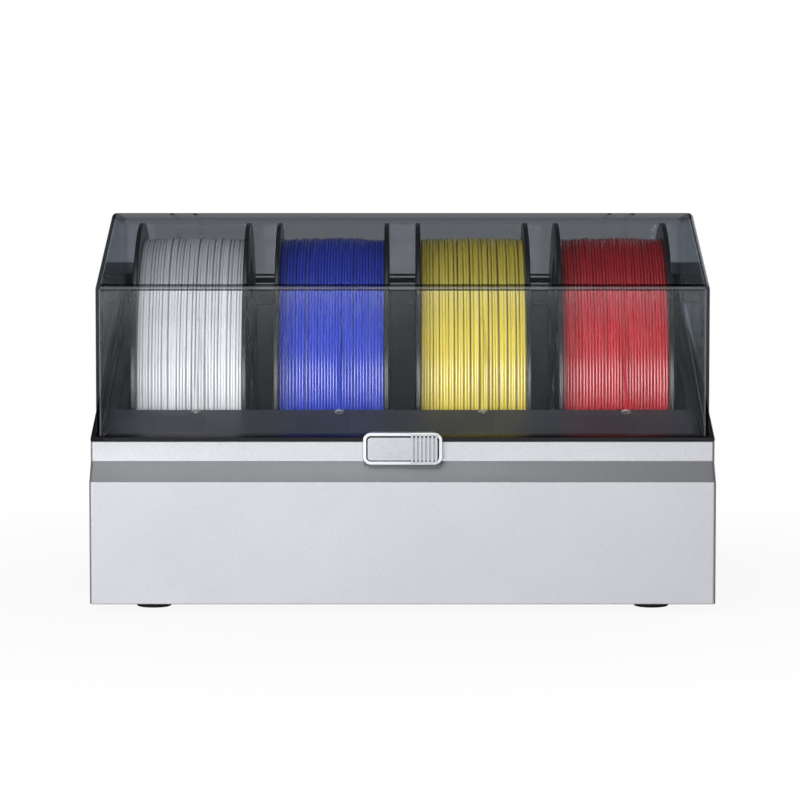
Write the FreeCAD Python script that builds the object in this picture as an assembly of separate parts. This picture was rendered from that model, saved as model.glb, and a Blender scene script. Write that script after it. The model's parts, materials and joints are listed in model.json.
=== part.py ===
import FreeCAD, Part
import math
import os

from FreeCAD import Vector

# Four-lane filament dryer box, in millimetres.
# Modelled with y = 0 on the lower front face, z = 0 on the case's underside and x = 0 in the
# middle, then moved so that the feet stand on z = 0 under the middle of the whole object.

# Load: four standard one-kilogram spools
lanes = 4
spool_radius = 100.0
spool_width = 69.0
flange_thickness = 3.0
hub_radius = 40.0
spool_bore_radius = 26.0
flange_hole_count = 6
flange_hole_radius = 13.0
flange_hole_circle = 66.0
winding_radius = 90.5
strand_diameter = 1.75
winding_loops = 24
winding_side_gap = 0.6
winding_seat = 0.05

# Room round the spools
lane_gap = 16.2
side_margin = 11.6
spool_front_gap = 6.0
spool_rear_gap = 4.0
spool_floor_gap = 1.5
lid_clearance = 3.1

# Case
case_wall = 2.5
base_plate = 3.0
floor_rise = 6.7
liner_wall = 2.5
side_cavity = 7.0
rear_cavity = 4.0
lower_front_height = 71.5
ledge_depth = 14.0
ledge_rise = 10.8
rim_face_height = 11.4
parting_angle = 13.87
corner_radius = 2.0
bay_depth = 30.0
bay_height = 24.5

# Front deck over the feeders
deck_back = 66.0
deck_rise = 1.0
deck_thickness = 2.5
cover_side = 32.0
cover_depth = 28.0
cover_thickness = 1.4
cover_offset = -5.0
cover_front = 29.0
guide_offset = 5.0
guide_radius = 2.85
guide_bore = 1.35
guide_setback = 3.9
guide_stand = 0.6
guide_sink = 0.4
feeder_width = 34.0
feeder_front = 24.0
motor_radius = 12.5
motor_gap = 3.5
motor_height = 36.0
deck_seal_gap = 1.0

# Lid
lid_wall = 2.5
lid_inset = 3.0
lid_slope_angle = 13.7
lid_rear_angle = 4.8
lid_ridge_radius = 3.4
lid_edge_radius = 2.0
lid_gap = 0.3
lid_rim_thickness = 2.0
lid_rim_width = 8.0
lid_rear_overhang = 1.5
lid_rim_rear_width = 5.2
rim_leg = 1.2
rim_leg_front = 5.7
rim_leg_rear = 17.7
rear_leg_height = 7.3
rail_rise = 12.0
rail_height = 3.2
rail_slot = 1.3
rail_edge = 1.2

# Hinge
hinge_offset = 7.5
hinge_rise = 19.1
knuckle_radius = 5.2
hinge_pin_radius = 1.5
running_clearance = 0.05
strap_width = 2.5
strap_pitch = 14.4
strap_height = 1.2
strap_setback = 30.0
strap_side_gap = 0.3
hinge_inset = 45.7
hinge_pin_inset = 1.0
tower_inner = 15.0
tower_outer = 42.7

# Latch
latch_width = 46.2
latch_height = 18.7
latch_drop = 13.2
latch_corner = 4.6
latch_back_gap = 0.3
latch_plate = 3.2
latch_slider_thickness = 1.5
latch_border = 2.0
latch_groove = 0.7
latch_groove_depth = 2.4
latch_face_gap = 0.3
latch_travel = 2.4
rib_count = 7
rib_pitch = 2.35
rib_width = 1.2
rib_height = 0.7
rib_margin = 0.8
tongue_width = 6.0
tongue_height = 4.0
tongue_drop = 8.0
tongue_reach = 2.2
tongue_gap = 0.35
hook_lap = 0.2
keeper_width = 24.0
keeper_drop = 9.6

# Rollers under the spools
roller_radius = 7.0
roller_band = 0.6
roller_band_width = 7.0
roller_angle = 32.0
roller_spool_gap = 0.3
roller_overhang = 4.4
roller_end_gap = 0.6
stub_radius = 2.0
stub_end_gap = 0.5
post_width = 9.0

# Warm-air set, electronics and rear fittings
fan_side = 40.0
fan_thickness = 15.0
fan_height = 50.0
fan_bore_radius = 18.6
fan_tip_gap = 0.8
fan_hub_radius = 9.0
fan_shaft_radius = 1.5
fan_shaft_setback = 5.0
fan_strut_width = 4.0
fan_strut_depth = 2.0
fan_strut_sink = 0.5
fan_rotor_setback = 1.5
fan_blade_inset = 1.0
fan_blades = 7
fan_blade_thickness = 1.2
fan_blade_pitch = 35.0
heater_depth = 14.0
heater_fin = 1.5
heater_fins = 9
board_width = 48.0
board_height = 62.0
board_thickness = 1.6
board_standoff = 5.0
board_post_radius = 2.5
board_post_inset_x = 4.0
board_post_inset_z = 6.0
chip_width = 16.0
chip_height = 14.0
chip_thickness = 3.2
chip_low = 20.0
plug_width = 24.0
plug_height = 8.0
plug_depth = 6.4
plug_low = 46.0
sensor_width = 14.0
sensor_height = 20.0
sensor_depth = 5.0
sensor_slots = 4
sensor_slot_width = 9.0
sensor_slot_height = 1.5
sensor_slot_depth = 1.0
vent_count = 7
vent_width = 3.0
inlet_width = 31.0
inlet_height = 24.0
socket_width = 24.2
socket_height = 16.4
socket_depth = 16.0
inlet_depth = 24.0
inlet_rise = 2.0
socket_wall = 1.6
pin_width = 2.0
pin_height = 5.0
pin_length = 10.0
pin_spread = 7.0
pin_offset = 2.0
inlet_x = 85.2
outlet_bore = 2.05
outlet_radius = 5.0
outlet_step = 0.8
outlet_inside = 8.0
outlet_protrusion = 4.0
tube_radius = 2.0
tube_height = 6.0
tube_bend = 20.0
outlet_height = 18.0

# Feet and seal
foot_radius = 10.25
foot_height = 5.5
foot_edge = 1.0
foot_inset_x = 35.5
foot_inset_y = 35.0
foot_screw_head = 3.2
foot_screw_shank = 1.5
foot_screw_sink = 2.6
screw_gap = 0.1
gasket_width = 3.0
gasket_depth = 1.2
seal_margin = 1.5

# How far a cut runs past what it cuts
over = 1.0

# Places worked out from the sizes above
lane_pitch = spool_width + lane_gap
half_width = lanes * lane_pitch / 2 + side_margin
lane_centres = [(i - (lanes - 1) / 2) * lane_pitch for i in range(lanes)]
floor_top = base_plate + floor_rise + liner_wall
spool_y = deck_back + spool_front_gap + spool_radius
spool_z = floor_top + spool_floor_gap + spool_radius
rear_wall_y = spool_y + spool_radius + spool_rear_gap
depth = rear_wall_y + liner_wall + rear_cavity + case_wall
rim_front_z = lower_front_height + ledge_rise + rim_face_height
latch_bottom = rim_front_z - latch_drop
tongue_bottom = rim_front_z - tongue_drop
keeper_floor = rim_front_z - keeper_drop
liner_x = half_width - case_wall - side_cavity - liner_wall
hinge_y = depth - knuckle_radius - lid_gap
lid_rear_y = hinge_y - hinge_offset
lid_front_y = ledge_depth + lid_inset
lid_half = half_width - lid_inset
hinge_centre = half_width - hinge_inset
slope = math.tan(math.radians(parting_angle))
middle_y = (depth + outlet_protrusion) / 2


def parting(y, above=0.0):
    """Height of the inclined parting plane between case and lid at depth y."""
    return rim_front_z + slope * (y - ledge_depth) + above


hinge_z = parting(hinge_y) + hinge_rise


def box(x0, x1, y0, y1, z0, z1):
    return Part.makeBox(x1 - x0, y1 - y0, z1 - z0, Vector(x0, y0, z0))


def rod(start, end, radius):
    """A round bar between two points."""
    along = end - start
    return Part.makeCylinder(radius, along.Length, start, along)


def rod_x(x0, x1, y, z, radius):
    return rod(Vector(x0, y, z), Vector(x1, y, z), radius)


def rod_y(x, y0, y1, z, radius):
    return rod(Vector(x, y0, z), Vector(x, y1, z), radius)


def rod_z(x, y, z0, z1, radius):
    return rod(Vector(x, y, z0), Vector(x, y, z1), radius)


def prism_x(points, x0, x1):
    """A (y, z) outline carried along x."""
    corners = [Vector(x0, y, z) for y, z in points]
    face = Part.Face(Part.makePolygon(corners + corners[:1]))
    return face.extrude(Vector(x1 - x0, 0, 0))


def beside(points, distance):
    """The same open (y, z) line moved sideways, to its right, with its corners kept sharp."""
    moved = []
    lines = []
    for (y0, z0), (y1, z1) in zip(points, points[1:]):
        length = math.hypot(y1 - y0, z1 - z0)
        ny, nz = (z1 - z0) / length, -(y1 - y0) / length
        lines.append((ny, nz, ny * y0 + nz * z0 + distance))
    ny, nz, _ = lines[0]
    moved.append((points[0][0] + ny * distance, points[0][1] + nz * distance))
    for (ay, az, ad), (by, bz, bd) in zip(lines, lines[1:]):
        det = ay * bz - az * by
        moved.append(((ad * bz - az * bd) / det, (ay * bd - ad * by) / det))
    ny, nz, _ = lines[-1]
    moved.append((points[-1][0] + ny * distance, points[-1][1] + nz * distance))
    return moved


def rounded(shape, radius, chosen):
    """Rounds the edges that a test picks out."""
    edges = [edge for edge in shape.Edges if chosen(edge)]
    return shape.makeFillet(radius, edges)


def runs_along(edge, direction):
    ends = edge.Vertexes
    if len(ends) < 2:
        return False
    step = ends[1].Point - ends[0].Point
    return abs(step.dot(direction)) > 0.999 * step.Length


def middle(edge):
    return edge.CenterOfMass


def near_line(edge, y, z, reach=0.3):
    at = middle(edge)
    return runs_along(edge, Vector(1, 0, 0)) and math.hypot(at.y - y, at.z - z) < reach


def on_slope(x0, x1, y0, y1, t0, t1):
    """A flat bar lying on the parting plane, from height t0 to t1 above it."""
    outline = [(y0, parting(y0, t0)), (y1, parting(y1, t0)), (y1, parting(y1, t1)), (y0, parting(y0, t1))]
    return prism_x(outline, x0, x1)


def joined(first, *others):
    shape = first
    for other in others:
        shape = shape.fuse(other)
    return shape.removeSplitter()


def mirrored(shape):
    return shape.mirror(Vector(0, 0, 0), Vector(1, 0, 0))


def group(shapes):
    return Part.makeCompound(shapes)


# Case


front_line = [
    (0.0, 0.0),
    (0.0, lower_front_height),
    (ledge_depth, lower_front_height + ledge_rise),
    (ledge_depth, rim_front_z),
]
front_inner = beside(front_line, case_wall)[:-1]
front_inner.append((front_inner[-1][0], parting(front_inner[-1][0])))
keeper_half = keeper_width / 2


def front_panel():
    outline = front_line + front_inner[::-1]
    panel = prism_x(outline, -half_width, half_width)
    middles = [((y0 + y1) / 2, (z0 + z1) / 2) for (y0, z0), (y1, z1) in zip(front_line, front_line[1:])]

    def on_outer_end(edge):
        at = middle(edge)
        apart = min(math.hypot(at.y - y, at.z - z) for y, z in middles)
        return abs(at.x) > half_width - case_wall / 2 and apart < 0.01

    panel = rounded(panel, corner_radius, on_outer_end)
    notch = box(-keeper_half, keeper_half, 0, ledge_depth + 2 * case_wall, keeper_floor, 2 * rim_front_z)
    return panel.cut(notch)


def side_panel():
    back = depth - case_wall
    front_top = front_inner[-1][0]
    outline = front_inner[:-1] + [(front_top, parting(front_top)), (back, parting(back)), (back, 0.0)]
    return prism_x(outline, half_width - case_wall, half_width)


def rear_panel():
    front = depth - case_wall
    outline = [(front, 0.0), (depth, 0.0), (depth, parting(depth)), (front, parting(front))]
    panel = prism_x(outline, -half_width, half_width)
    for x in lane_centres:
        panel = panel.cut(rod_y(x, front - over, depth + over, outlet_height, outlet_radius))
    half_w = inlet_width / 2
    low = inlet_bottom
    panel = panel.cut(
        box(inlet_x - half_w, inlet_x + half_w, front - over, depth + over, low, low + inlet_height)
    )
    return panel


inlet_bottom = base_plate + inlet_rise


def bottom_plate():
    x = half_width - case_wall
    plate = box(-x, x, case_wall, depth - case_wall, 0.0, base_plate)
    for at in foot_centres:
        plate = plate.cut(rod_z(at.x, at.y, -over, base_plate + over, foot_screw_shank + screw_gap))
    return plate


foot_centres = [
    Vector(side * (half_width - foot_inset_x), y, 0)
    for side in (-1, 1)
    for y in (foot_inset_y, depth - foot_inset_y)
]


def feet():
    shapes = []
    for at in foot_centres:
        foot = rod_z(at.x, at.y, -foot_height, 0.0, foot_radius)
        foot = rounded(foot, foot_edge, lambda e: middle(e).z < -foot_height / 2 and len(e.Vertexes) == 1)
        seat = -foot_height + foot_screw_sink
        foot = foot.cut(rod_z(at.x, at.y, -foot_height, seat, foot_screw_head + screw_gap))
        foot = foot.cut(rod_z(at.x, at.y, -foot_height, over, foot_screw_shank + screw_gap))
        shapes.append(foot)
    return group(shapes)


def foot_screws():
    shapes = []
    for at in foot_centres:
        seat = -foot_height + foot_screw_sink
        head = rod_z(at.x, at.y, seat - foot_screw_sink / 2, seat, foot_screw_head)
        shank = rod_z(at.x, at.y, seat, base_plate, foot_screw_shank)
        shapes.append(joined(head, shank))
    return group(shapes)


# Drying chamber inside the case


liner_front = front_inner[-1][0]
liner_back = rear_wall_y + liner_wall
bay_front = rear_wall_y - bay_depth
bay_top = floor_top + bay_height
wall_front_y = deck_back - liner_wall


def chamber_wall_side():
    """Side wall of the chamber with the flat edge that carries the seal."""
    outline = [
        (liner_front, base_plate),
        (liner_back, base_plate),
        (liner_back, parting(liner_back)),
        (liner_front, parting(liner_front)),
    ]
    wall = prism_x(outline, liner_x, liner_x + liner_wall)
    edge = on_slope(liner_x, half_width - case_wall, liner_front, liner_back, -liner_wall, 0.0)
    front, back = liner_front - over, liner_back + over
    groove = on_slope(seal_x, seal_x + gasket_width, front, back, -gasket_depth, over)
    return joined(wall, edge).cut(groove)


seal_x = half_width - case_wall - gasket_width - seal_margin


def chamber_floor():
    return box(-liner_x, liner_x, wall_front_y, bay_front + liner_wall, floor_top - liner_wall, floor_top)


def chamber_wall_front():
    top = parting(wall_front_y, deck_rise - deck_thickness)
    back_top = parting(deck_back, deck_rise - deck_thickness)
    outline = [(wall_front_y, floor_top), (deck_back, floor_top), (deck_back, back_top), (wall_front_y, top)]
    wall = prism_x(outline, -liner_x, liner_x)
    step = 2 * fan_bore_radius / vent_count
    for i in range(vent_count):
        x = (i - (vent_count - 1) / 2) * step
        half = math.sqrt(max(fan_bore_radius**2 - x**2, vent_width**2)) - vent_width / 2
        x0, x1 = x - vent_width / 2, x + vent_width / 2
        wall = wall.cut(box(x0, x1, 0, spool_y, fan_height - half, fan_height + half))
    return wall


def chamber_wall_rear():
    outline = [
        (rear_wall_y, bay_top),
        (liner_back, bay_top),
        (liner_back, parting(liner_back)),
        (rear_wall_y, parting(rear_wall_y)),
    ]
    wall = prism_x(outline, -liner_x, liner_x)
    edge = on_slope(-liner_x, liner_x, seal_rear_y, rear_wall_y, -liner_wall, 0.0)
    groove = on_slope(-liner_x, liner_x, seal_strip_y, seal_strip_y + gasket_width, -gasket_depth, over)
    return joined(wall, edge).cut(groove)


seal_rear_y = lid_rear_y + lid_rear_overhang - lid_rim_rear_width
seal_strip_y = seal_rear_y + (lid_rim_rear_width - gasket_width) / 2


def rear_bay_cover():
    line = [(bay_front, floor_top), (bay_front, bay_top), (liner_back, bay_top)]
    outline = line + beside(line, liner_wall)[::-1]
    return prism_x(outline, -liner_x, liner_x)


def rim_gasket():
    side = on_slope(seal_x, seal_x + gasket_width, liner_front, liner_back, -gasket_depth, 0.0)
    front = on_slope(-liner_x, liner_x, deck_seal_y, deck_seal_y + gasket_width, -gasket_depth, 0.0)
    rear = on_slope(-liner_x, liner_x, seal_strip_y, seal_strip_y + gasket_width, -gasket_depth, 0.0)
    return group([side, mirrored(side), front, rear])


deck_front = lid_front_y + lid_rim_width - lid_inset + lid_gap
deck_seal_y = liner_front + deck_seal_gap


# Front deck and feeders


def strand_path(x):
    """The filament's straight run from its spool's front, tangent to the winding, to the inlet guide."""
    end_y = deck_back - guide_setback
    end = Vector(x, end_y, parting(end_y, deck_rise))
    reach = winding_radius + roller_spool_gap + strand_diameter / 2
    dy, dz = end.y - spool_y, end.z - spool_z
    turn = math.atan2(dz, dy) - math.acos(reach / math.hypot(dy, dz))
    start = Vector(x, spool_y + reach * math.cos(turn), spool_z + reach * math.sin(turn))
    return start, end


def front_deck():
    top = deck_rise
    lip = on_slope(-liner_x, liner_x, liner_front, deck_front, -deck_thickness, 0.0)
    plate = on_slope(-liner_x, liner_x, deck_front, deck_back, top - deck_thickness, top)
    deck = joined(lip, plate)
    deck = deck.cut(
        on_slope(-liner_x, liner_x, deck_seal_y, deck_seal_y + gasket_width, -gasket_depth, over)
    )
    for x in lane_centres:
        x0 = x + cover_offset - cover_side / 2
        recess = top - cover_thickness
        deck = deck.cut(
            on_slope(x0, x0 + cover_side, cover_front, cover_front + cover_depth, recess, top + over)
        )
        start, end = strand_path(x + guide_offset)
        through = (start - end).normalize() * 2 * deck_thickness
        deck = deck.cut(rod(end - through, end + through, guide_radius))
    return deck


def feeder_covers():
    shapes = []
    top = deck_rise
    for x in lane_centres:
        x0 = x + cover_offset - cover_side / 2
        shapes.append(
            on_slope(x0, x0 + cover_side, cover_front, cover_front + cover_depth, top - cover_thickness, top)
        )
    return group(shapes)


def inlet_guides():
    shapes = []
    for x in lane_centres:
        start, end = strand_path(x + guide_offset)
        along = (start - end).normalize()
        low, high = end - along * guide_sink, end + along * guide_stand
        ring = rod(low, high, guide_radius).cut(rod(low, high, guide_bore))
        shapes.append(ring)
    return group(shapes)


def filament_leads():
    shapes = []
    for x in lane_centres:
        start, end = strand_path(x + guide_offset)
        shapes.append(rod(end, start, strand_diameter / 2))
    return group(shapes)


def feeder_housings():
    shapes = []
    under = deck_rise - deck_thickness
    for x in lane_centres:
        outline = [
            (feeder_front, base_plate),
            (wall_front_y, base_plate),
            (wall_front_y, parting(wall_front_y, under)),
            (deck_front, parting(deck_front, under)),
            (deck_front, parting(deck_front, under) - deck_thickness),
            (feeder_front, parting(feeder_front, under) - deck_thickness),
        ]
        housing = prism_x(outline, x - feeder_width / 2, x + feeder_width / 2)
        shapes.append(housing)
    return group(shapes)


motor_y = (feeder_front + wall_front_y) / 2
motor_length = (lane_pitch - feeder_width) / 2 - motor_gap


def feeder_motors():
    """One motor per feeder, in the rooms beside the fan's."""
    shapes = []
    for i, x in enumerate(lane_centres):
        side = 1 if i % 2 == 0 else -1
        face = x + side * feeder_width / 2
        shapes.append(rod_x(face, face + side * motor_length, motor_y, motor_height, motor_radius))
    return group(shapes)


# Warm-air set and electronics


fan_back = wall_front_y
fan_front = fan_back - fan_thickness
fan_shaft_end = fan_back - fan_shaft_setback
fan_strut_back = fan_front + fan_strut_depth


def fan_frame():
    half = fan_side / 2
    frame = box(-half, half, fan_front, fan_back, fan_height - half, fan_height + half)
    frame = frame.cut(rod_y(0, fan_front - over, fan_back + over, fan_height, fan_bore_radius))
    reach, wide = fan_bore_radius + fan_strut_sink, fan_strut_width / 2
    struts = [
        box(-reach, reach, fan_front, fan_strut_back, fan_height - wide, fan_height + wide),
        box(-wide, wide, fan_front, fan_strut_back, fan_height - reach, fan_height + reach),
        rod_y(0, fan_front, fan_strut_back, fan_height, fan_hub_radius),
        rod_y(0, fan_front, fan_shaft_end, fan_height, fan_shaft_radius),
    ]
    return joined(frame, *struts)


def fan_rotor():
    front = fan_strut_back + lid_gap
    back = fan_back - fan_rotor_setback
    hub = rod_y(0, front, back, fan_height, fan_hub_radius)
    tip = fan_bore_radius - fan_tip_gap
    rotor = hub
    for i in range(fan_blades):
        half = fan_blade_thickness / 2
        blade = box(-half, half, front + fan_blade_inset, back - fan_blade_inset, 0, tip)
        blade.rotate(Vector(0, (front + back) / 2, 0), Vector(0, 0, 1), fan_blade_pitch)
        blade = blade.common(box(-tip, tip, front, back, 0, tip))
        blade.rotate(Vector(0, 0, 0), Vector(0, 1, 0), i * 360.0 / fan_blades)
        blade.translate(Vector(0, 0, fan_height))
        rotor = rotor.fuse(blade)
    rotor = rotor.common(rod_y(0, front, back, fan_height, tip))
    bore_end = fan_shaft_end + running_clearance
    bore = rod_y(0, front - over, bore_end, fan_height, fan_shaft_radius + running_clearance)
    return rotor.removeSplitter().cut(bore)


def heater_core():
    half = fan_side / 2
    back = fan_front
    front = back - heater_depth
    pitch = (fan_side - heater_fin) / (heater_fins - 1)
    low, high = fan_height - half, fan_height + half
    ends = [box(-half, half, front, back, z, z + heater_fin) for z in (low, high - heater_fin)]
    fins = []
    for i in range(heater_fins):
        x = -half + i * pitch
        fins.append(box(x, x + heater_fin, front, back, low, high))
    return joined(ends[0], ends[1], *fins)


def control_board():
    x = (lane_centres[-1] + lane_centres[-2]) / 2
    half = board_width / 2
    front = case_wall + board_standoff
    low = base_plate
    board = box(x - half, x + half, front, front + board_thickness, low, low + board_height)
    face = front + board_thickness
    chip_x, plug_x = chip_width / 2, plug_width / 2
    chip_z, plug_z = low + chip_low, low + plug_low
    chip = box(x - chip_x, x + chip_x, face, face + chip_thickness, chip_z, chip_z + chip_height)
    plug = box(x - plug_x, x + plug_x, face, face + plug_depth, plug_z, plug_z + plug_height)
    shape = joined(board, chip, plug)
    for side in (-1, 1):
        for z in (low + board_post_inset_z, low + board_height - board_post_inset_z):
            post = rod_y(x + side * (half - board_post_inset_x), case_wall, front, z, board_post_radius)
            shape = shape.fuse(post)
    return shape.removeSplitter()


def humidity_sensor():
    x = (lane_centres[0] + lane_centres[1]) / 2
    low = fan_height
    half, back = sensor_width / 2, deck_back + sensor_depth
    case = box(x - half, x + half, deck_back, back, low, low + sensor_height)
    pitch = sensor_height / (sensor_slots + 1)
    for i in range(1, sensor_slots + 1):
        z = low + i * pitch - sensor_slot_height / 2
        x0, x1 = x - sensor_slot_width / 2, x + sensor_slot_width / 2
        case = case.cut(box(x0, x1, back - sensor_slot_depth, back + over, z, z + sensor_slot_height))
    return case


def power_inlet():
    front = depth - case_wall
    half = inlet_width / 2
    low = inlet_bottom
    mid = low + inlet_height / 2
    flange = box(inlet_x - half, inlet_x + half, front, depth, low, low + inlet_height)
    hollow_w, hollow_h = socket_width / 2, socket_height / 2
    core_w, core_h = hollow_w + socket_wall, hollow_h + socket_wall
    floor = depth - socket_depth
    core = box(inlet_x - core_w, inlet_x + core_w, depth - inlet_depth, front, mid - core_h, mid + core_h)
    hollow = box(inlet_x - hollow_w, inlet_x + hollow_w, floor, depth + over, mid - hollow_h, mid + hollow_h)
    shape = joined(flange, core).cut(hollow)
    for dx, dz in ((-pin_spread, -pin_offset), (0.0, pin_offset), (pin_spread, -pin_offset)):
        x0, z0 = inlet_x + dx - pin_width / 2, mid + dz - pin_height / 2
        shape = shape.fuse(box(x0, x0 + pin_width, floor, floor + pin_length, z0, z0 + pin_height))
    return shape.removeSplitter()


def filament_outlets():
    shapes = []
    back = depth + outlet_protrusion
    front = depth - case_wall - outlet_inside
    for x in lane_centres:
        body = rod_y(x, front, depth, outlet_height, outlet_radius)
        collar = rod_y(x, depth, back, outlet_height, outlet_radius - outlet_step)
        bore = rod_y(x, front, back, outlet_height, outlet_bore)
        shapes.append(joined(body, collar).cut(bore))
    return group(shapes)


def feed_tubes():
    """Four tubes from the feeders, under the chamber floor and up to the outlets at the back."""
    shapes = []
    end = depth - case_wall - outlet_inside
    rise = outlet_height - tube_height
    turn = math.acos(1 - rise / (2 * tube_bend))
    run = 2 * tube_bend * math.sin(turn)
    y0 = end - run
    half = turn / 2
    for x in lane_centres:
        half_run, half_rise = tube_bend * math.sin(half), tube_bend * (1 - math.cos(half))
        bend_1 = Vector(x, y0 + half_run, tube_height + half_rise)
        joint = Vector(x, y0 + tube_bend * math.sin(turn), tube_height + tube_bend * (1 - math.cos(turn)))
        bend_2 = Vector(x, end - half_run, outlet_height - half_rise)
        start, low = Vector(x, wall_front_y, tube_height), Vector(x, y0, tube_height)
        last = Vector(x, end, outlet_height)
        path = Part.Wire([
            Part.LineSegment(start, low).toShape(),
            Part.Arc(low, bend_1, joint).toShape(),
            Part.Arc(joint, bend_2, last).toShape(),
        ])
        ring = Part.Wire([Part.Circle(start, Vector(0, 1, 0), tube_radius).toShape()])
        shapes.append(path.makePipeShell([ring], True, False))
    return group(shapes)


# Rollers


roller_reach = spool_radius + roller_radius + roller_spool_gap
roller_dy = roller_reach * math.sin(math.radians(roller_angle))
roller_z = spool_z - roller_reach * math.cos(math.radians(roller_angle))
roller_half = spool_width / 2 + roller_overhang
post_face = roller_half + roller_end_gap
outer_post = liner_x - lane_centres[-1] - post_face
stub_length = min(outer_post, lane_pitch / 2 - post_face) - stub_end_gap


def roller(x, y):
    """One roller: stub ends, a slim barrel and two raised grip bands under the spool's flanges."""
    end = post_face + stub_length
    shape = rod_x(x - end, x + end, y, roller_z, stub_radius)
    shape = shape.fuse(rod_x(x - roller_half, x + roller_half, y, roller_z, roller_radius - roller_band))
    for side in (-1, 1):
        at = x + side * (spool_width - flange_thickness) / 2
        x0, x1 = at - roller_band_width / 2, at + roller_band_width / 2
        shape = shape.fuse(rod_x(x0, x1, y, roller_z, roller_radius))
    return shape.removeSplitter()


def roller_posts():
    """Uprights on the chamber floor that hold the rollers' ends, shared between lanes."""
    shapes = []
    edges = [-liner_x]
    for x in lane_centres:
        edges += [x - post_face, x + post_face]
    edges.append(liner_x)
    top = post_width / 2
    for dy in (-roller_dy, roller_dy):
        y = spool_y + dy
        for x0, x1 in zip(edges[0::2], edges[1::2]):
            post = box(x0, x1, y - top, y + top, floor_top, roller_z)
            post = joined(post, rod_x(x0, x1, y, roller_z, top))
            hole = rod_x(x0 - over, x1 + over, y, roller_z, stub_radius + running_clearance)
            shapes.append(post.cut(hole))
    return group(shapes)


# Spools


def spool(x):
    half = spool_width / 2
    shape = rod_x(x - half, x + half, spool_y, spool_z, hub_radius)
    for side in (-1, 1):
        x0 = x + side * (half - flange_thickness / 2) - flange_thickness / 2
        flange = rod_x(x0, x0 + flange_thickness, spool_y, spool_z, spool_radius)
        for i in range(flange_hole_count):
            turn = 2 * math.pi * (i + 0.5) / flange_hole_count
            y = spool_y + flange_hole_circle * math.cos(turn)
            z = spool_z + flange_hole_circle * math.sin(turn)
            flange = flange.cut(rod_x(x0 - over, x0 + flange_thickness + over, y, z, flange_hole_radius))
        shape = shape.fuse(flange)
    bore = rod_x(x - half - over, x + half + over, spool_y, spool_z, spool_bore_radius)
    return shape.removeSplitter().cut(bore)


winding_half = spool_width / 2 - flange_thickness - winding_side_gap
core_radius = winding_radius - strand_diameter - winding_seat


def filament_core(x):
    """The wound filament under its outer layer."""
    half = winding_half + winding_side_gap
    outer = rod_x(x - half, x + half, spool_y, spool_z, core_radius)
    return outer.cut(rod_x(x - half - over, x + half + over, spool_y, spool_z, hub_radius))


def least_gap(edges):
    """Clear space between neighbouring loops of a strand, measured on points along its path."""
    steps = 6
    points = []
    for edge in edges:
        span = edge.LastParameter - edge.FirstParameter
        points += [edge.valueAt(edge.FirstParameter + span * i / steps) for i in range(steps)]
    loop = 4 * steps
    nearest = min(
        a.distanceToPoint(b) for i, a in enumerate(points) for b in points[i + loop // 2 : i + 2 * loop]
    )
    return nearest - strand_diameter


def filament_winding(x):
    """The outer layer: one unbroken strand that winds from one flange to the other."""
    centre = winding_radius - strand_diameter / 2
    first = x - winding_half + strand_diameter / 2
    pitch = (2 * winding_half - strand_diameter) / winding_loops

    def on_helix(turns):
        angle = 2 * math.pi * turns
        return Vector(
            first + pitch * turns, spool_y + centre * math.cos(angle), spool_z + centre * math.sin(angle)
        )

    quarters = 4 * winding_loops
    edges = []
    for i in range(quarters):
        arc = Part.Arc(on_helix(i / 4), on_helix((i + 0.5) / 4), on_helix((i + 1) / 4))
        edges.append(arc.toShape())
    begin, finish = edges[0], edges[-1]
    lead_in = begin.tangentAt(begin.FirstParameter) * strand_diameter
    lead_out = finish.tangentAt(finish.LastParameter) * strand_diameter
    start, end = on_helix(0), on_helix(winding_loops)
    edges.insert(0, Part.LineSegment(start - lead_in, start).toShape())
    edges.append(Part.LineSegment(end, end + lead_out).toShape())
    path = Part.Wire(edges)
    ring = Part.Wire([Part.Circle(start - lead_in, lead_in, strand_diameter / 2).toShape()])
    return path.makePipeShell([ring], True, False), least_gap(edges)


# Lid


slope_turn = math.radians(lid_slope_angle)
rear_turn = math.radians(lid_rear_angle)
lid_reach = spool_radius + lid_clearance + lid_wall


def roof_height(y, turn):
    """Height of a roof panel's outer face, at lid_reach from the spools' axis and leaning by turn."""
    return spool_z + (lid_reach + (y - spool_y) * math.sin(turn)) / math.cos(turn)


peak_y = spool_y + lid_reach * (1 / math.cos(rear_turn) - 1 / math.cos(slope_turn)) / (
    math.tan(slope_turn) + math.tan(rear_turn)
)
peak_z = roof_height(peak_y, slope_turn)
ridge_z = roof_height(lid_front_y, slope_turn)
rear_top_z = roof_height(lid_rear_y, -rear_turn)
rim_top = lid_gap + lid_rim_thickness
lid_line = [
    (lid_front_y, parting(lid_front_y, rim_top)),
    (lid_front_y, ridge_z),
    (peak_y, peak_z),
    (lid_rear_y, rear_top_z),
    (lid_rear_y, parting(lid_rear_y, rim_top)),
]
lid_inner = [(y, max(z, parting(y, rim_top))) for y, z in beside(lid_line, lid_wall)]
lid_inner[-1] = (lid_inner[-1][0], parting(lid_inner[-1][0], rim_top))


def off_line(y, z, start, end):
    """Distance of a point from the line through two (y, z) points."""
    dy, dz = end[0] - start[0], end[1] - start[1]
    return abs((y - start[0]) * dz - (z - start[1]) * dy) / math.hypot(dy, dz)


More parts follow.
